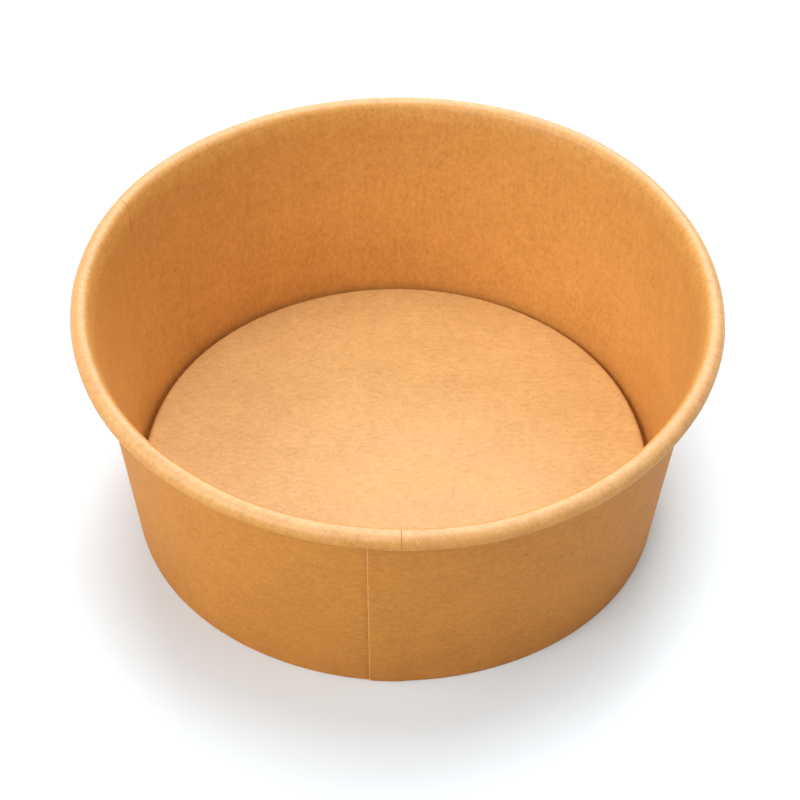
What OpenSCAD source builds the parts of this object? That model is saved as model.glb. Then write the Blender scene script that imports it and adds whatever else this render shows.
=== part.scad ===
// Kraft salad bowl: a wrapped side wall of paper board and a pressed base disc.
// Millimetres. The bowl stands on z = 0, its axis is Z, and its lap seam faces -Y.

/* [Bowl] */
// Diameter over the rolled rim
rim_d = 150; // [140:1:175]
// Diameter of the foot at the table
base_d = 128; // [112:1:136]
// Height from the table to the top of the rim
bowl_h = 61; // [40:1:90]

/* [Board] */
// Thickness of the coated paper board
board_t = 0.45; // [0.3:0.05:0.6]
// Clearance between boards that are sealed together
seal_gap = 0.05; // [0.03:0.01:0.1]

/* [Rim] */
// Diameter of the rolled bead
bead_d = 4.5; // [3.6:0.1:6]
// Radius of the wall's outward sweep into the bead
sweep_r = 16; // [8:1:20]
// Lean of the wall where it enters the bead, in degrees from upright
sweep_lean = 24; // [18:1:32]
// Angle rolled at full bead size before the edge tucks in
roll_turn = 265; // [250:5:275]
// Angle that the tucked edge turns on, inside the bead
tuck_turn = 200; // [120:10:220]

/* [Base] */
// Height of the base disc's upper face above the table
disc_z = 5.5; // [4:0.5:12]
// Outer radius of the disc's downward bend
bend_r = 1; // [0.8:0.1:1.5]
// Draft of the disc's pressed skirt, in degrees that its top leans inwards
draft = 9; // [0:1:10]
// Clearance from the folded hem's top edge up to where the disc starts to bend
hem_clear = 1; // [0.2:0.1:1.5]
// Depth by which the fold is pressed flat where it stands
press_depth = 0.12; // [0.05:0.01:0.2]

/* [Lap seam] */
// Angle from -Y to the visible outer edge of the lap, positive towards +X
lap_start = -5; // [-20:0.1:-2]
// Angle over which the two ends of the blank overlap
lap_turn = 5.9; // [4:0.1:9]
// Width over which the outer layer settles back onto the cone
lap_ramp_w = 3.4; // [2:0.1:6]
// Width of the hairline at the inner edge of the lap
groove_w = 0.14; // [0.08:0.01:0.3]
// Depth of the hairline and of the crease, into the food side
groove_depth = 0.16; // [0.08:0.01:0.25]

/* [Crease] */
// Angle from -Y to the short crease in the rim, positive towards +X
crease_at = 245; // [30:1:330]
// Width of the crease
crease_w = 0.22; // [0.1:0.01:0.4]
// How far the crease runs down the wall below the bead
crease_l = 3.5; // [1:0.1:8]
// Angle that the crease runs up over the bead
crease_turn = 80; // [20:5:140]

/* [Hidden] */
$fn = 96;
wall_colour = "#C78647";
disc_colour = "#E3A267";
// Angle between the points of a tight bend and of the wide sweep
bend_step = 15;
sweep_step = 5;
// How far a cut starts outside the board
proud = 0.1;
// Angle of the -Y direction, which the seam and the crease are measured from
front = 270;
base_r = base_d / 2;
bead_r = bead_d / 2;
// Centre of the bead's section, as [radius, height]
bead_c = [rim_d / 2 - bead_r, bowl_h - bead_r];
// Centre of the outward sweep, outside the wall and in line with the bead's entry
sweep_c = bead_c + (sweep_r - bead_r) * [cos(sweep_lean), -sin(sweep_lean)];
// The outer face of the wall is the line from the foot that just touches the sweep
foot_to_sweep = sweep_c - [base_r, 0];
lean = acos((sweep_r - board_t) / norm(foot_to_sweep)) - atan2(foot_to_sweep[1], foot_to_sweep[0]);
// The tucked turn rides just inside the full turn
tuck_step = board_t + 3 * seal_gap;
roll_end = 180 - sweep_lean - roll_turn;
tuck_c = bead_c + tuck_step * [cos(roll_end), sin(roll_end)];
// The fold at the foot wraps the skirt, with a seal gap on both sides of it
fold_r = (3 * board_t + 2 * seal_gap) / 2;
fold_h = fold_r - press_depth;
fold_c = on_wall(-fold_r, (fold_h - fold_r * sin(lean)) / cos(lean));
// The skirt and the hem rise from the fold along this draft, and the wall leans away from them
draft_out = [cos(draft), sin(draft)];
hem_h = disc_z - bend_r - hem_clear;
bend_h = disc_z - bend_r;
bend_c = [
    fold_c[0] + (board_t / 2 - bend_r - (bend_h - fold_h) * sin(draft)) / cos(draft),
    bend_h
];
// The outer layer of the lap ends in a ramp, whose far edge is just under the wall's face
lap_end = lap_start + lap_turn;
ramp_sag = lap_ramp_w * lap_ramp_w / base_d;
ramp_tilt = atan((board_t + ramp_sag) / lap_ramp_w);
// The outer layer runs this far on under the ramp's plane, at both of its edges
ramp_margin = lap_ramp_w / 4;
// The outer layer starts at this angle of the fold, which lies below the table
lap_from = 280;

// Angle round the foot that a width takes
function degrees_of(width) = width / base_r * 180 / PI;

// Section point from a place square to the leaning wall: x out of its outer face, y up along it
function on_wall(x, y) = [
    base_r + x * cos(lean) + y * sin(lean),
    y * cos(lean) - x * sin(lean)
];

// Points along a bend from angle a0 to a1: its ends, and each whole step between them
function bend(c, r, a0, a1, step = bend_step) =
    let (
        s = a1 > a0 ? 1 : -1,
        first = s * floor(s * a0 / step) + s,
        last = s * ceil(s * a1 / step) - s,
        angles = concat(a0, [for (k = [first : s : last]) k * step], a1)
    )
    [for (a = angles) c + r * [cos(a), sin(a)]];

// Point in the fold at a depth behind the draft line through its centre, at a height above it
function on_draft(depth, height) = fold_c + [
    -depth / cos(draft) - height * tan(draft),
    height
];

function reversed(points) = [for (i = [len(points) - 1 : -1 : 0]) points[i]];

// Each stretch of the wall is drawn at a depth d behind the food side
function fold_points(d, from) = bend(fold_c, fold_r - board_t + d, from, 360 - lean);
function sweep_points(d) =
    bend(sweep_c, sweep_r - d, 180 - lean, 180 - sweep_lean, sweep_step);
function roll_points(d, turn) =
    bend(bead_c, bead_r - d, 180 - sweep_lean, 180 - sweep_lean - turn);
function tuck_points(d) = bend(tuck_c, bead_r - tuck_step - d, roll_end, roll_end - tuck_turn);

// The whole wall: hem, fold, wall, sweep, roll and tucked edge
function wall_side(d) = concat(
    [on_draft(fold_r - board_t + d, hem_h - fold_h)],
    fold_points(d, 180 + draft),
    sweep_points(d),
    roll_points(d, roll_turn),
    tuck_points(d)
);

// The wall from a height above the fold to a place on the roll
function cut_side(d, y, turn) = concat(
    [on_wall(d - board_t, y)],
    sweep_points(d),
    roll_points(d, turn)
);

// The lap's outer layer, from under the foot to the bead
function lap_side(d) = concat(fold_points(d, lap_from), sweep_points(d));

// The base disc from its middle, over its bend and down its skirt into the fold
function disc_side(d) = concat(
    [[0, disc_z - d]],
    bend(bend_c, bend_r - d, 90, draft),
    [fold_c + (board_t / 2 - d) * draft_out]
);

// Board section between its two faces
module board_2d(face, back) {
    polygon(concat(face, reversed(back)));
}

// Trims what reaches below the table, which leaves the flat that the bowl stands on
module above_table_2d() {
    intersection() {
        children();
        square([rim_d, bowl_h + 1]);
    }
}

// Turns a section part of the way round, from an angle measured from -Y
module sector(from, turn) {
    rotate([0, 0, front + from]) rotate_extrude(angle = turn) children();
}

// Everything behind the plane of the lap's ramp, which falls towards +X
module behind_ramp() {
    reach = bowl_h / cos(lean);
    rotate([0, 0, front + lap_end]) translate([base_r, 0, 0]) rotate([0, lean, 0])
        translate([board_t, 0, 0]) rotate([0, 0, ramp_tilt])
            translate([-rim_d, -lap_ramp_w, -bead_d]) cube([rim_d, 4 * lap_ramp_w, reach + bead_d]);
}

module lap_section_2d() {
    above_table_2d() board_2d(lap_side(board_t / 2), lap_side(2 * board_t));
}

// Second layer of board outside the wall, with a sharp edge on its left. Its full part stops
// just short of the ramp's upper edge, inside the part that the ramp trims.
module lap() {
    sector(lap_start, lap_turn - degrees_of(ramp_margin / 2)) lap_section_2d();
    intersection() {
        sector(lap_end - degrees_of(ramp_margin), degrees_of(lap_ramp_w + 2 * ramp_margin))
            lap_section_2d();
        behind_ramp();
    }
}

// Hairline in the food side, where the inner end of the blank stops
module lap_groove() {
    sector(lap_end, degrees_of(groove_w))
        board_2d(cut_side(-proud, disc_z, roll_turn), cut_side(groove_depth, disc_z, roll_turn));
}

// Short crease over the rim and a little way down the wall
module rim_crease() {
    turn = degrees_of(crease_w);
    y = (bowl_h - bead_d - crease_l) / cos(lean);
    sector(crease_at - turn / 2, turn)
        board_2d(cut_side(-proud, y, crease_turn), cut_side(groove_depth, y, crease_turn));
}

module side_wall() {
    color(wall_colour) difference() {
        union() {
            rotate_extrude() above_table_2d() board_2d(wall_side(0), wall_side(board_t));
            lap();
        }
        lap_groove();
        rim_crease();
    }
}

module base_disc() {
    color(disc_colour) rotate_extrude() board_2d(disc_side(0), disc_side(board_t));
}

side_wall();
base_disc();
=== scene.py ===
"""Looks of the kraft paper salad bowl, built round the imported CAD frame.

Both pieces of board are drawn again as smooth, dense meshes: the wall with its rolled rim, lap seam
and small crease, and the base disc. Sizes are in millimetres until a mesh is made. Azimuths are in
degrees from -Y, where the lap seam is, and grow towards +X.
"""

import math

import bmesh
import bpy
import numpy as np
from mathutils import Matrix, Vector


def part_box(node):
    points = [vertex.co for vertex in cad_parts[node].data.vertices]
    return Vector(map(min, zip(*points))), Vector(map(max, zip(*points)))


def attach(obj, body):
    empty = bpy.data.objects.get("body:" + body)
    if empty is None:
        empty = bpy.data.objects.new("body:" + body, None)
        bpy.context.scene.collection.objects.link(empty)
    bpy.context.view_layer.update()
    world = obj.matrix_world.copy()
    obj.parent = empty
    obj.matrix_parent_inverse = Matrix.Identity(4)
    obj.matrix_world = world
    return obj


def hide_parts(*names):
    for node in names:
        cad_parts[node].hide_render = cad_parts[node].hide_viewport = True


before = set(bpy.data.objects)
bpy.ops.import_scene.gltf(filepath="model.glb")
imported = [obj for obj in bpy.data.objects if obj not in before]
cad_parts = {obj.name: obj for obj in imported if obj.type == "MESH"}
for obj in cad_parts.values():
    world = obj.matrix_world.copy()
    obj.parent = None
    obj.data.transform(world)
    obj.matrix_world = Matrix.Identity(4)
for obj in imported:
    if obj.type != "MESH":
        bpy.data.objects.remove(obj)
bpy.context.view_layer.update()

MM = 0.001

# Sizes that the frame gives
RIM_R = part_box("side_wall")[1].x / MM
BOWL_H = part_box("side_wall")[1].z / MM
DISC_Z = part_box("base_disc")[1].z / MM

# Sizes of the board's section, as in the CAD model
BASE_R = 64.0
BOARD_T = 0.45
SEAL_GAP = 0.05
BEAD_R = 2.25
SWEEP_R = 16.0
SWEEP_LEAN = 24.0
ROLL_TURN = 265.0
TUCK_TURN = 200.0
BEND_R = 1.0
DRAFT = 9.0
HEM_CLEAR = 1.0
PRESS_DEPTH = 0.12

# Lap seam and crease, as in the CAD model
LAP_START = -5.0
LAP_TURN = 5.9
LAP_RAMP_W = 3.4
GROOVE_W = 0.14
GROOVE_DEPTH = 0.16
CREASE_AT = 245.0
CREASE_W = 0.22
CREASE_L = 3.5
CREASE_TURN = 80.0

# Camera, fitted to the outlines of the rim, the foot and the disc
CAMERA_ELEVATION = 46.99
CAMERA_DISTANCE = 574.5
CAMERA_AIM = (0.72, 0.0, 26.65)
CAMERA_ROLL = 0.712
CAMERA_LENS = 104.53
SENSOR_W = 36.0

# Soft waves in the board's shape round the rim, the foot and the disc's edge, as the photo shows.
# Each is the number of waves, its size, and the azimuth of a peak.
RIM_WAVES = ((3, 0.42, 12), (4, 0.18, -39), (5, 0.13, 11), (6, 0.07, 14))
FOOT_WAVES = ((2, 0.23, -4), (3, 0.16, 50), (4, 0.31, -43), (6, 0.12, -1))
DISC_WAVES = ((0, -0.25, 0), (2, 0.35, 0))

# Share of its thickness by which the lap's outer layer stands out, now that the seam is pressed
LAP_PRESS = 0.45
# Width over which the outer layer's edge is worn round
LAP_WORN = 0.22
# Depth of the low step on the hairline's right, and the width over which it fades out
GROOVE_STEP = 0.05
GROOVE_STEP_W = 3.0
# How much the bead stands out at the lap's inner edge, where two layers are rolled, and how much
# the whole rim is drawn in there, with the angle either side over which each fades
SEAM_BULGE = 0.22
BULGE_TURN = 4.0
SEAM_DRAW = 0.27
DRAW_TURN = 9.0
# How far the crease leans, in degrees round the bowl, over this length along the board
CREASE_SLANT = 1.6
SLANT_L = 6.0
# Angle either side of the crease over which the columns follow its lean
SLANT_TURN = 6.0

# Where each feature fades in and out. The first of each pair is in millimetres along the board from
# the first row of the leaning wall, or in height for the crease. The second is in degrees of the
# bead's turn, as both numbers of the bulge are.
LAP_SPAN = ((-4.2, -3.4), (10, 60))
GROOVE_SPAN = ((DISC_Z - 2, DISC_Z - 1), (262, 266))
BULGE_FROM = (40, 130)
CREASE_END = BOWL_H - 2 * BEAD_R - CREASE_L
CREASE_SPAN = ((CREASE_END - 1.5, CREASE_END + CREASE_L), (CREASE_TURN - 12, CREASE_TURN))

# Angle between columns of the wall, and of the disc
WALL_STEP = 1.2
DISC_STEP = 1.5
# A small angle, half of what a steep step takes, that tells neighbouring columns apart
HAIR = 0.01
# Angle between faces from which an edge is drawn sharp
SHARP_ANGLE = 32

# How far the paper's fibres stand out
TOOTH = 0.02
# How strongly each layer of noise shows in the paper's tone
FIBRE, FINE, BLOTS, PATCHES, CLOUDS, SPECKS = 0.55, 0.42, 0.34, 0.24, 0.20, -0.2
# The paper's tone: place on the ramp, and the share of each colour of the tint
TONE_STOPS = ((0.0, 0.46, 0.34, 0.26), (0.5, 1.0, 1.0, 1.0), (1.0, 1.42, 1.58, 1.85))
# Painted highlight on the bead's rolled upper side and painted shade on its lower side, which make the
# upper side paler and the lower side darker: degrees of its turn, and the share of each colour
PAINTED_HIGHLIGHT_FROM = (18, 55)
PAINTED_HIGHLIGHT_TO = (85, 150)
PAINTED_HIGHLIGHT_SHARE = (1.04, 1.12, 1.75)
PAINTED_SHADE_FROM = (105, 175)
PAINTED_SHADE_SHARE = (0.9, 0.78, 0.66)
# Shine that is left on the bead's lower side
DARK_SHINE = 0.1

# Floor and lights, in metres. A light's azimuth, elevation, side and power in watts.
FLOOR_HALF = 2.5
FLOOR_Z = -0.00002
FLOOR_COLOUR = (0.85, 0.94, 0.99, 1)
LIGHT_DISTANCE = 1.3
LIGHTS = {
    "top": (180, 80, 0.6, 8.5),
    "front_key": (-35, 37, 0.9, 9.3),
    "left_key": (-75, 34, 0.9, 6.5),
    "back": (180, 33, 0.9, 8.5),
    "back_right": (150, 45, 0.9, 5.5),
    "right": (75, 40, 0.9, 4.3),
}
WORLD_STRENGTH = 0.02


def polar(radius, degrees):
    """Points on a circle round the origin, for one angle or an array of them."""
    a = np.radians(degrees)
    return radius * np.stack([np.cos(a), np.sin(a)], axis=-1)


def bend(centre, radius, start, end, step):
    """Points of an arc from angle start to angle end, at most step apart."""
    count = math.ceil(abs(end - start) / step) + 1
    return centre + polar(radius, np.linspace(start, end, count))


def degrees_of(width):
    """Angle round the bowl's axis that a width takes at the foot."""
    return math.degrees(width / BASE_R)


def smoothstep(low, high, x):
    """A soft step from 0 at low to 1 at high."""
    t = np.clip((x - low) / (high - low), 0, 1)
    return t * t * (3 - 2 * t)


def bell(x, width):
    """A soft bump of height 1 at 0."""
    return np.exp(-(x / width) ** 2)


class Section:
    """The wall's section: the same construction as the CAD model, with finer bends."""

    bead_c = np.array([RIM_R - BEAD_R, BOWL_H - BEAD_R])
    sweep_c = bead_c + polar(SWEEP_R - BEAD_R, -SWEEP_LEAN)
    foot_to_sweep = sweep_c - [BASE_R, 0]
    lean = math.degrees(
        math.acos((SWEEP_R - BOARD_T) / math.hypot(*foot_to_sweep))
        - math.atan2(foot_to_sweep[1], foot_to_sweep[0])
    )
    along = polar(1, 90 - lean)
    outward = polar(1, -lean)
    fold_r = (3 * BOARD_T + 2 * SEAL_GAP) / 2
    fold_h = fold_r - PRESS_DEPTH
    fold_c = [BASE_R, 0] - fold_r * outward + (fold_h + fold_r * outward[1]) / along[1] * along
    # The skirt and the hem rise from the fold along the draft
    draft_out = polar(1, DRAFT)
    bend_h = DISC_Z - BEND_R
    bend_c = np.array([
        fold_c[0] + (BOARD_T / 2 - BEND_R - (bend_h - fold_h) * draft_out[1]) / draft_out[0], bend_h,
    ])
    tuck_step = BOARD_T + 3 * SEAL_GAP
    roll_end = 180 - SWEEP_LEAN - ROLL_TURN
    tuck_c = bead_c + polar(tuck_step, roll_end)
    # Distance from the cone's tip to the foot, along the wall
    apex = BASE_R / math.sin(math.radians(lean))

    @classmethod
    def stretches(cls, depth):
        """The board's stretches at a depth behind the food side, from the hem to the tucked edge."""
        radius = cls.fold_r - BOARD_T + depth
        hem_rise = cls.bend_h - HEM_CLEAR - cls.fold_h
        hem_in = radius / cls.draft_out[0] + hem_rise * math.tan(math.radians(DRAFT))
        hem_top = cls.fold_c + [-hem_in, hem_rise]
        fold = bend(cls.fold_c, radius, 180 + DRAFT, 360 - cls.lean, 15)
        sweep = bend(cls.sweep_c, SWEEP_R - depth, 180 - cls.lean, 180 - SWEEP_LEAN, 3)
        roll = bend(cls.bead_c, BEAD_R - depth, 180 - SWEEP_LEAN, cls.roll_end, 6)
        tuck = bend(cls.tuck_c, BEAD_R - cls.tuck_step - depth,
                    cls.roll_end, cls.roll_end - TUCK_TURN, 12)
        share = np.linspace(0, 1, 26)[1:-1, None]
        wall = fold[-1] + share * (sweep[0] - fold[-1])
        return {
            "hem": hem_top[None], "fold": fold, "wall": wall,
            "sweep": sweep, "roll": roll[1:], "tuck": tuck[1:],
        }


class Wall:
    """The wall's rows on the food side, and how much of each feature a row has."""

    def __init__(self):
        parts = Section.stretches(0)
        names = np.concatenate([[name] * len(points) for name, points in parts.items()])
        self.food = np.concatenate(list(parts.values()))
        self.inward = np.concatenate(list(Section.stretches(1).values())) - self.food
        step = np.linalg.norm(np.diff(self.food, axis=0), axis=1)
        path = np.concatenate([[0], np.cumsum(step)])
        # Place along the board, the place where the bead starts, and the angle rolled since then
        self.path = path - path[names == "wall"][0]
        self.rim_path = float(self.path[names == "sweep"][-1])
        self.turn = np.degrees((self.path - self.rim_path) / BEAD_R)
        self.on_lap = self.span(self.path, *LAP_SPAN)
        self.on_groove = self.span(self.path, *GROOVE_SPAN)
        self.on_crease = self.span(self.food[:, 1], *CREASE_SPAN) * (self.path > 0)
        self.on_bulge = smoothstep(*BULGE_FROM, self.turn)
        # Place along the board of all rows of the mesh, up the food side and back down behind
        self.round_path = np.concatenate([self.path, self.path[::-1]])

    def span(self, place, low, high):
        """Share of a feature that fades in over a range of places, and out as the bead turns."""
        return smoothstep(*low, place) * (1 - smoothstep(*high, self.turn))


def lap_profile():
    """Azimuths, and shares of the board by which the lap's outer layer stands out there.

    It has a sharp edge on its left with a faint dip before it, and a ramp on its right.
    """
    edge, end = LAP_START, LAP_START + LAP_TURN
    worn, ramp = degrees_of(LAP_WORN), degrees_of(LAP_RAMP_W)
    at = [edge - worn, edge - worn / 2, edge - HAIR, edge + HAIR, edge + worn / 2, edge + worn, end,
          end + 0.3 * ramp, end + 0.6 * ramp, end + ramp]
    height = [0, -0.2, -0.25, 0.6, 0.93, 1, 1, 0.66, 0.24, 0]
    return at, LAP_PRESS * np.array(height)


def groove_profile():
    """Azimuths, and depths there of the hairline at the lap's inner edge and the low step beside it."""
    edge = LAP_START + LAP_TURN
    width, step = degrees_of(GROOVE_W), degrees_of(GROOVE_STEP_W)
    at = [edge - 2 * HAIR, edge, edge + width, edge + width + 2 * HAIR, edge + width + step]
    return at, [0, GROOVE_DEPTH, GROOVE_DEPTH, GROOVE_STEP, 0]


def crease_profile():
    """Azimuths, and depths there of the crease, with a slightly raised lip on both sides."""
    half = degrees_of(CREASE_W) / 2
    at = CREASE_AT + half * np.array([-5, -2.5, -1, -0.3, 0.3, 1, 2.5, 5])
    return at, GROOVE_DEPTH * np.array([0, -0.3, -0.15, 1, 1, -0.15, -0.3, 0])


def wall_azimuths():
    """Columns of the wall in one turn from the lap's inner edge, with extra ones at each feature."""
    start = LAP_START + LAP_TURN
    regular = np.arange(start, start + 360, WALL_STEP)
    extra = np.concatenate([lap_profile()[0], groove_profile()[0], crease_profile()[0]])
    extra = (extra - start) % 360 + start
    far = np.min(np.abs(regular[:, None] - extra), axis=1) > WALL_STEP / 4
    return np.unique(np.round(np.concatenate([regular[far], extra]), 6))


def from_front(azimuth):
    """The same azimuth between -180 and 180."""
    return (azimuth + 180) % 360 - 180


def waves(azimuth, parts):
    """Sum of soft waves round the bowl."""
    return sum(size * np.cos(np.radians(count * (azimuth - peak))) for count, size, peak in parts)


def out_of_round(azimuth, z):
    """How far the board stands out of its true cone: soft waves and a slight unevenness."""
    a = np.radians(azimuth)
    share = z / BOWL_H
    uneven = (0.03 * np.sin(7 * a + 1.3 + z / 25) + 0.03 * np.sin(11 * a + 4.1 - z / 14)
              + 0.02 * np.sin(23 * a + 0.7 + z / 9))
    drawn = SEAM_DRAW * bell(from_front(azimuth), DRAW_TURN) * smoothstep(30, BOWL_H - BEAD_R, z)
    return (waves(azimuth, FOOT_WAVES) * (1 - share) + waves(azimuth, RIM_WAVES) * share
            + uneven * smoothstep(8, BOWL_H, z) - drawn)


def skirt_wave(azimuth, z):
    """How far the disc's skirt and the hem in it stand out of their draft, growing from the fold."""
    share = np.clip((z - Section.fold_h) / (DISC_Z - Section.fold_h), 0, 1)
    return waves(azimuth, DISC_WAVES) * share


def turned(points, azimuth, shift):
    """Section points [radius, height], moved out by shift and turned to an azimuth."""
    a = np.radians(azimuth)
    r = points[..., 0] + shift
    return np.stack([r * np.sin(a), -r * np.cos(a), points[..., 1] + 0 * r], axis=-1)


def grid_mesh(name, points, uv, wrap_rows=True):
    """A mesh from points[column, row], closed round the columns, and its faces' columns and rows.

    uv(column, row, next_row) gives the places of the faces' four corners on the flat board.
    """
    columns, rows = points.shape[:2]
    last = rows if wrap_rows else rows - 1
    c, r = np.meshgrid(np.arange(columns), np.arange(last), indexing="ij")
    c, r = c.ravel(), r.ravel()
    c1, r1 = (c + 1) % columns, (r + 1) % rows
    corners = np.stack([c * rows + r1, c1 * rows + r1, c1 * rows + r, c * rows + r], axis=1)
    mesh = bpy.data.meshes.new(name)
    mesh.vertices.add(columns * rows)
    mesh.vertices.foreach_set("co", (points.reshape(-1, 3) * MM).ravel())
    mesh.loops.add(corners.size)
    mesh.loops.foreach_set("vertex_index", corners.ravel())
    mesh.polygons.add(len(corners))
    mesh.polygons.foreach_set("loop_start", np.arange(0, corners.size, 4))
    mesh.update(calc_edges=True)
    layer = mesh.uv_layers.new(name="board")
    layer.data.foreach_set("uv", uv(c, r, r1).reshape(-1).astype(np.float32))
    mesh.validate()
    return mesh, c, r


def finish_object(name, mesh, materials):
    """Links a mesh as a smooth object with sharp edges where it turns hard."""
    mesh.shade_smooth()
    mesh.set_sharp_from_angle(angle=math.radians(SHARP_ANGLE))
    for material in materials:
        mesh.materials.append(material)
    obj = bpy.data.objects.new(name, mesh)
    bpy.context.scene.collection.objects.link(obj)
    return obj


def wall_points(wall, azimuth):
    """Points [column, row] of the wall: up the food side, then back down behind."""
    near = from_front(azimuth)
    edge = LAP_START + LAP_TURN
    bulge = SEAM_BULGE * bell(near - edge, BULGE_TURN)[:, None] * wall.on_bulge
    groove = np.interp(azimuth, *groove_profile())[:, None] * wall.on_groove
    crease = np.interp(azimuth, *crease_profile())[:, None] * wall.on_crease
    lap = np.interp(near, *lap_profile())[:, None] * wall.on_lap
    food_depth = groove + crease - bulge
    back_depth = BOARD_T * (1 + lap) - bulge
    sections = np.concatenate([
        wall.food + food_depth[..., None] * wall.inward,
        (wall.food + back_depth[..., None] * wall.inward)[:, ::-1],
    ], axis=1)
    # The foot is flat where it stands
    sections[..., 1] = np.maximum(sections[..., 1], 0)
    column, z = azimuth[:, None], sections[..., 1]
    shift = out_of_round(column, z) + skirt_wave(column, z) * (wall.round_path < 0)
    slant = CREASE_SLANT * np.clip((wall.rim_path - wall.round_path) / SLANT_L, -0.5, 1)
    return turned(sections, column + slant * bell(column - CREASE_AT, SLANT_TURN), shift)


def wall_uv(wall, azimuth, c, r, r1):
    """Faces' corners on the flat fan-shaped blank. Behind, the lap's outer layer is its right end."""
    first = azimuth[c]
    second = np.append(azimuth[1:], azimuth[0] + 360)[c]
    outer_lap = (r >= len(wall.food)) & (first > LAP_START + 360 - 2 * HAIR)
    first = first - 360 * outer_lap
    second = second - 360 * outer_lap
    place = []
    for a, row in ((first, r1), (second, r1), (second, r), (first, r)):
        slant = Section.apex + wall.round_path[row]
        spread = np.radians(a - 180) * math.sin(math.radians(Section.lean))
        place.append(np.stack([slant * np.sin(spread), slant * np.cos(spread) - Section.apex], 1))
    return np.stack(place, axis=1) * MM


def wall_slots(wall, azimuth, c, r):
    """Faces' materials: 0 food side, 1 outside, 2 cut edges of the board, 3 the crease's dark line,
    which is painted shade.
    """
    n = len(wall.food)
    at = azimuth[c]
    row = np.minimum(r, n - 1)
    food = r < n - 1
    lap_edge = LAP_START + 360
    worn_edge = (at > lap_edge - 2 * HAIR) & (at < lap_edge + degrees_of(LAP_WORN) - HAIR)
    in_groove = (at < azimuth[0] + degrees_of(GROOVE_W) - HAIR) & (wall.on_groove[row] > 0.5)
    crease_edge = CREASE_AT - degrees_of(CREASE_W) / 2
    crease_shade_faces = (at > crease_edge + HAIR) & (at < CREASE_AT) & (wall.on_crease[row] > 0.6)
    slot = np.where(food, 0, 1)
    slot[(r == n - 1) | (r == 2 * n - 1) | ((r >= n) & worn_edge) | (food & in_groove)] = 2
    # painted shade: the crease's groove faces take the dark material
    slot[food & crease_shade_faces] = 3
    return slot.astype(np.int32)


def make_wall(wall, materials):
    """The wrapped wall with its hem, rolled rim, lap seam and crease."""
    azimuth = wall_azimuths()
    mesh, c, r = grid_mesh("kraft_wall", wall_points(wall, azimuth),
                           lambda *corner: wall_uv(wall, azimuth, *corner))
    mesh.polygons.foreach_set("material_index", wall_slots(wall, azimuth, c, r))
    return finish_object("kraft_wall", mesh, materials)


def disc_section(depth):
    """The disc from near its middle, over its bend and down its skirt, at a depth under its face."""
    turn = bend(Section.bend_c, BEND_R - depth, 90, DRAFT, 8)
    edge = Section.fold_c + (BOARD_T / 2 - depth) * Section.draft_out
    share = np.linspace(0, 1, 34)[1:-1, None]
    middle = np.array([0, DISC_Z - depth])
    flat = middle + share * (turn[0] - middle)
    skirt = turn[-1] + np.array([0.3, 0.6, 1])[:, None] * (edge - turn[-1])
    return np.concatenate([flat, turn, skirt])


def make_disc(materials):
    """The base disc, with its edge turned down and a slightly uneven face."""
    face, under = disc_section(0), disc_section(BOARD_T)
    section = np.concatenate([face, under[::-1]])
    azimuth = np.arange(0, 360, DISC_STEP)
    columns, rows = len(azimuth), len(section)
    z = section[:, 1] + np.zeros((columns, 1))
    shift = out_of_round(azimuth[:, None], z) + skirt_wave(azimuth[:, None], z)
    outer = smoothstep(0.3, 1, section[:, 0] / Section.bend_c[0])
    points = turned(section[None], azimuth[:, None], shift * outer)
    inner = 1 - smoothstep(0.75, 0.97, section[:, 0] / face[:, 0].max())
    x, y = points[..., 0] / BASE_R, points[..., 1] / BASE_R
    uneven = 0.05 * np.sin(4.1 * x + 1) * np.cos(3.3 * y - 0.6) + 0.02 * np.sin(9 * x - 7 * y)
    points[..., 2] += uneven * inner

    def uv(c, r, r1):
        """Faces' corners on the flat board, seen from above."""
        c1 = (c + 1) % columns
        place = [points[a, b, :2] for a, b in ((c, r1), (c1, r1), (c1, r), (c, r))]
        return np.stack(place, axis=1) * MM

    mesh, c, r = grid_mesh("kraft_disc", points, uv, wrap_rows=False)
    mesh.polygons.foreach_set("material_index", np.where(r < len(face) - 1, 0, 1).astype(np.int32))
    close_middle(mesh, columns, rows)
    return finish_object("kraft_disc", mesh, materials)


def close_middle(mesh, columns, rows):
    """Closes the small round holes in the middle of the face and of the underside."""
    bm = bmesh.new()
    bm.from_mesh(mesh)
    bm.verts.ensure_lookup_table()
    layer = bm.loops.layers.uv.active
    for row, order, slot in ((0, -1, 0), (rows - 1, 1, 1)):
        ring = [bm.verts[c * rows + row] for c in range(columns)][::order]
        face = bm.faces.new(ring)
        face.material_index = slot
        for loop in face.loops:
            loop[layer].uv = loop.vert.co.xy
    bmesh.ops.recalc_face_normals(bm, faces=bm.faces)
    bm.to_mesh(mesh)
    bm.free()


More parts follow.
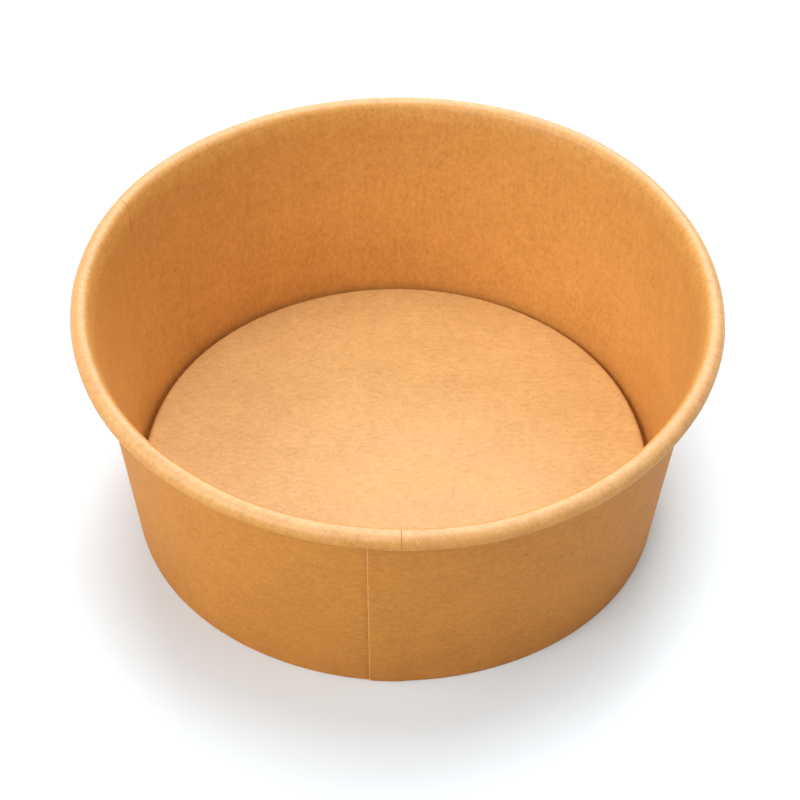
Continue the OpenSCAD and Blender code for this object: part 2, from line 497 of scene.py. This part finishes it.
class Shader:
    """A material's node tree, with short calls for the nodes that the kraft materials use."""

    def __init__(self, name):
        self.material = bpy.data.materials.new(name)
        self.material.use_nodes = True
        self.tree = self.material.node_tree
        self.tree.nodes.clear()

    def node(self, kind, **settings):
        """Adds a shader node with its settings."""
        made = self.tree.nodes.new("ShaderNode" + kind)
        for key, value in settings.items():
            setattr(made, key, value)
        return made

    def put(self, socket, value):
        """Links a socket to another's output, or sets its value."""
        if isinstance(value, bpy.types.NodeSocket):
            self.tree.links.new(value, socket)
        else:
            socket.default_value = value

    def principled(self):
        """Adds the surface shader, linked to the output."""
        shader, output = self.node("BsdfPrincipled"), self.node("OutputMaterial")
        self.put(output.inputs["Surface"], shader.outputs["BSDF"])
        return shader

    def math(self, operation, *values):
        """The result of a sum on sockets or numbers."""
        made = self.node("Math", operation=operation)
        for socket, value in zip(made.inputs, values):
            self.put(socket, value)
        return made.outputs[0]

    def board(self, scale, offset):
        """Places on the flat board, in multiples of 1 / scale millimetres across and along."""
        place = self.node("UVMap", uv_map="board")
        mapping = self.node("Mapping")
        self.put(mapping.inputs["Vector"], place.outputs["UV"])
        mapping.inputs["Scale"].default_value = (scale[0] / MM, scale[1] / MM, 1)
        mapping.inputs["Location"].default_value = offset
        return mapping.outputs["Vector"]

    def noise(self, scale, seed, detail, roughness, distortion=0.0):
        """Noise over the board, from about 0.2 to 0.8, with features of 1 / scale millimetres."""
        made = self.node("TexNoise", noise_dimensions="3D")
        self.put(made.inputs["Vector"], self.board(scale, (seed * 3.1, seed * 1.7, seed)))
        for key, value in (("Scale", 1.0), ("Detail", detail), ("Roughness", roughness),
                           ("Distortion", distortion)):
            made.inputs[key].default_value = value
        return made.outputs["Fac"]

    def centred(self, value, strength):
        """Noise moved to swing round 0, times a strength."""
        return self.math("MULTIPLY", self.math("SUBTRACT", value, 0.5), strength)

    def total(self, *values):
        """The sum of sockets and numbers."""
        result = values[0]
        for value in values[1:]:
            result = self.math("ADD", result, value)
        return result

    def step(self, value, low, high, start=0.0, end=1.0):
        """A soft step from start, where the value is low, to end, where it is high."""
        ramp = self.node("MapRange", interpolation_type="SMOOTHSTEP")
        self.put(ramp.inputs["Value"], value)
        for key, number in (("From Min", low), ("From Max", high), ("To Min", start), ("To Max", end)):
            ramp.inputs[key].default_value = number
        return ramp.outputs["Result"]

    def rim_turn(self, rim_path):
        """Angle rolled so far on the rim, which starts at a place along the board."""
        place = self.node("UVMap", uv_map="board")
        tip = self.node("VectorMath", operation="ADD")
        self.put(tip.inputs[0], place.outputs["UV"])
        tip.inputs[1].default_value = (0, Section.apex * MM, 0)
        length = self.node("VectorMath", operation="LENGTH")
        self.put(length.inputs[0], tip.outputs["Vector"])
        rolled = self.math("SUBTRACT", length.outputs["Value"], (Section.apex + rim_path) * MM)
        return self.math("DIVIDE", rolled, math.radians(BEAD_R) * MM)

    def multiplied(self, colour, share, amount):
        """A colour times a share of each channel, by an amount from 0 to 1."""
        mix = self.node("Mix", data_type="RGBA", blend_type="MULTIPLY")
        self.put(mix.inputs["Factor"], amount)
        self.put(mix.inputs["A"], colour)
        mix.inputs["B"].default_value = (*share, 1)
        return mix.outputs["Result"]

    def specks(self, size, seed, share):
        """Sparse specks: 1 inside a speck and 0 outside, on a share of the cells."""
        cells = self.node("TexVoronoi", voronoi_dimensions="2D", feature="F1")
        place = self.board((1 / size, 1 / (1.6 * size)), (seed * 5.3, seed * 2.9, 0))
        self.put(cells.inputs["Vector"], place)
        cells.inputs["Scale"].default_value = 1.0
        chosen = self.node("TexWhiteNoise", noise_dimensions="3D")
        self.put(chosen.inputs["Vector"], cells.outputs["Position"])
        rare = self.math("LESS_THAN", chosen.outputs["Value"], share)
        return self.math("MULTIPLY", rare, self.step(cells.outputs["Distance"], 0.1, 0.34, 1.0, 0.0))

    def tinted(self, tone, tint):
        """The tint made darker or paler by the tone, which is 0.5 on average."""
        ramp = self.node("ValToRGB")
        elements = ramp.color_ramp.elements
        elements.new(0.5)
        for element, (place, *share) in zip(elements, TONE_STOPS):
            element.position = place
            element.color = [min(t * k, 1.0) for t, k in zip(tint, share)] + [1]
        self.put(ramp.inputs["Fac"], tone)
        return ramp.outputs["Color"]


def kraft(name, tint, seed, grain=(1, 1), streak=0.0, rough=0.6, shine=0.5, rim_path=None):
    """Kraft board: fine fibres, cloudy tone, streaks along the board and a few specks.

    tint is the mean colour. grain gives how much finer the fibres are across x and along y. The
    rolled rim, if there is one, starts at rim_path along the board.
    """
    s = Shader(name)
    fibre = s.noise((1.5 * grain[0], 1.5 * grain[1]), seed, detail=5, roughness=0.68, distortion=0.3)
    fine = s.noise((3.4 * grain[0], 3.4 * grain[1]), seed + 3, detail=3, roughness=0.6)
    blots = s.noise((0.62 * grain[0], 0.62 * grain[1]), seed + 5, detail=2, roughness=0.5)
    patches = s.noise((0.25, 0.2), seed + 11, detail=3, roughness=0.6)
    clouds = s.noise((0.06, 0.06), seed + 7, detail=3, roughness=0.6)
    streaks = s.noise((0.9, 0.05), seed + 13, detail=4, roughness=0.6)
    specks = s.specks(0.6, seed, 0.012)
    tone = s.total(
        s.centred(fibre, FIBRE), s.centred(fine, FINE), s.centred(blots, BLOTS),
        s.centred(patches, PATCHES), s.centred(clouds, CLOUDS),
        s.centred(streaks, streak), s.math("MULTIPLY", specks, SPECKS), 0.5,
    )
    colour = s.tinted(tone, tint)
    if rim_path:
        turn = s.rim_turn(rim_path)
        # painted highlight: the bead's upper side is made paler where the lamps' highlight falls
        pale = s.math("MULTIPLY", s.step(turn, *PAINTED_HIGHLIGHT_FROM), s.step(turn, *PAINTED_HIGHLIGHT_TO, 1.0, 0.0))
        # painted shade: the bead's lower side is made darker, as in shade, and its shine is lowered
        # there too
        under = s.step(turn, *PAINTED_SHADE_FROM)
        colour = s.multiplied(s.multiplied(colour, PAINTED_HIGHLIGHT_SHARE, pale), PAINTED_SHADE_SHARE, under)
        shine = s.step(turn, *PAINTED_SHADE_FROM, shine, DARK_SHINE)
    shader = s.principled()
    s.put(shader.inputs["Base Color"], colour)
    s.put(shader.inputs["Roughness"], s.math("ADD", s.centred(patches, 0.12), rough))
    s.put(shader.inputs["Specular IOR Level"], shine)
    bump = s.node("Bump")
    bump.inputs["Strength"].default_value = 1.0
    bump.inputs["Distance"].default_value = TOOTH * MM
    s.put(bump.inputs["Height"], s.total(s.centred(fibre, 1.0), s.centred(fine, 0.6)))
    s.put(shader.inputs["Normal"], bump.outputs["Normal"])
    return s.material


def floor_material():
    """Plain pale floor."""
    s = Shader("floor")
    shader = s.principled()
    shader.inputs["Base Color"].default_value = FLOOR_COLOUR
    shader.inputs["Roughness"].default_value = 0.9
    shader.inputs["Specular IOR Level"].default_value = 0.1
    return s.material


def make_floor():
    """A large pale floor just under the foot."""
    corners = ((-1, -1), (1, -1), (1, 1), (-1, 1))
    mesh = bpy.data.meshes.new("floor")
    mesh.from_pydata([(x * FLOOR_HALF, y * FLOOR_HALF, FLOOR_Z) for x, y in corners],
                     [], [(0, 1, 2, 3)])
    mesh.materials.append(floor_material())
    floor = bpy.data.objects.new("floor", mesh)
    bpy.context.scene.collection.objects.link(floor)


def make_camera():
    """The camera at the photograph's viewpoint."""
    data = bpy.data.cameras.new("camera")
    data.sensor_width = SENSOR_W
    data.lens = CAMERA_LENS
    data.clip_start, data.clip_end = 0.01, 20
    camera = bpy.data.objects.new("camera", data)
    bpy.context.scene.collection.objects.link(camera)
    elevation = math.radians(CAMERA_ELEVATION)
    place = Vector((0, -math.cos(elevation), math.sin(elevation))) * CAMERA_DISTANCE
    look = (Vector(CAMERA_AIM) - place).to_track_quat("-Z", "Y").to_matrix().to_4x4()
    roll = Matrix.Rotation(math.radians(CAMERA_ROLL), 4, "Z")
    camera.matrix_world = Matrix.Translation(place * MM) @ look @ roll
    bpy.context.scene.camera = camera


def area_light(name, azimuth, elevation, side, power):
    """A square soft light that faces the bowl. Azimuth is as for the seam, from -Y towards +X."""
    data = bpy.data.lights.new(name, "AREA")
    data.shape = "SQUARE"
    data.size = side
    data.energy = power
    light = bpy.data.objects.new(name, data)
    bpy.context.scene.collection.objects.link(light)
    a, e = math.radians(azimuth), math.radians(elevation)
    away = Vector((math.sin(a) * math.cos(e), -math.cos(a) * math.cos(e), math.sin(e)))
    light.location = away * LIGHT_DISTANCE
    light.rotation_mode = "QUATERNION"
    light.rotation_quaternion = away.to_track_quat("Z", "Y")


def make_lights():
    """Soft studio light: one small light above, five large ones round the bowl, and a faint world."""
    for name, settings in LIGHTS.items():
        area_light(name, *settings)
    world = bpy.data.worlds.new("studio")
    bpy.context.scene.world = world
    world.use_nodes = True
    background = world.node_tree.nodes["Background"]
    background.inputs["Color"].default_value = (1, 1, 1, 1)
    background.inputs["Strength"].default_value = WORLD_STRENGTH


def dress(piece, node):
    """Ties a finished piece to the part's one body and hides the CAD node that it stands for."""
    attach(piece, "root")
    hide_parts(node)


make_camera()
bpy.context.scene.view_settings.view_transform = "Standard"

board = Wall()
food_side = kraft("kraft_food_side", tint=(0.68, 0.335, 0.084), seed=1, grain=(1.5, 0.8),
                  streak=0.14, rough=0.42, rim_path=board.rim_path)
outside = kraft("kraft_outside", tint=(0.545, 0.208, 0.032), seed=4, grain=(0.95, 1.3),
                rough=0.65, shine=0.2)
disc_face = kraft("kraft_disc_face", tint=(0.74, 0.425, 0.155), seed=9, grain=(0.7, 1.6), rough=0.44)
cut_edge = kraft("board_cut_edge", tint=(0.60, 0.29, 0.075), seed=15, rough=0.8)
# painted shade: a dark tint for the crease's groove faces, in place of the shade that falls there
crease_shade_paint = kraft("kraft_crease_painted_shade", tint=(0.36, 0.16, 0.045), seed=21, rough=0.9, shine=0.1)

wall = make_wall(board, [food_side, outside, cut_edge, crease_shade_paint])
dress(wall, "side_wall")
disc = make_disc([disc_face, outside])
dress(disc, "base_disc")

make_floor()
make_lights()
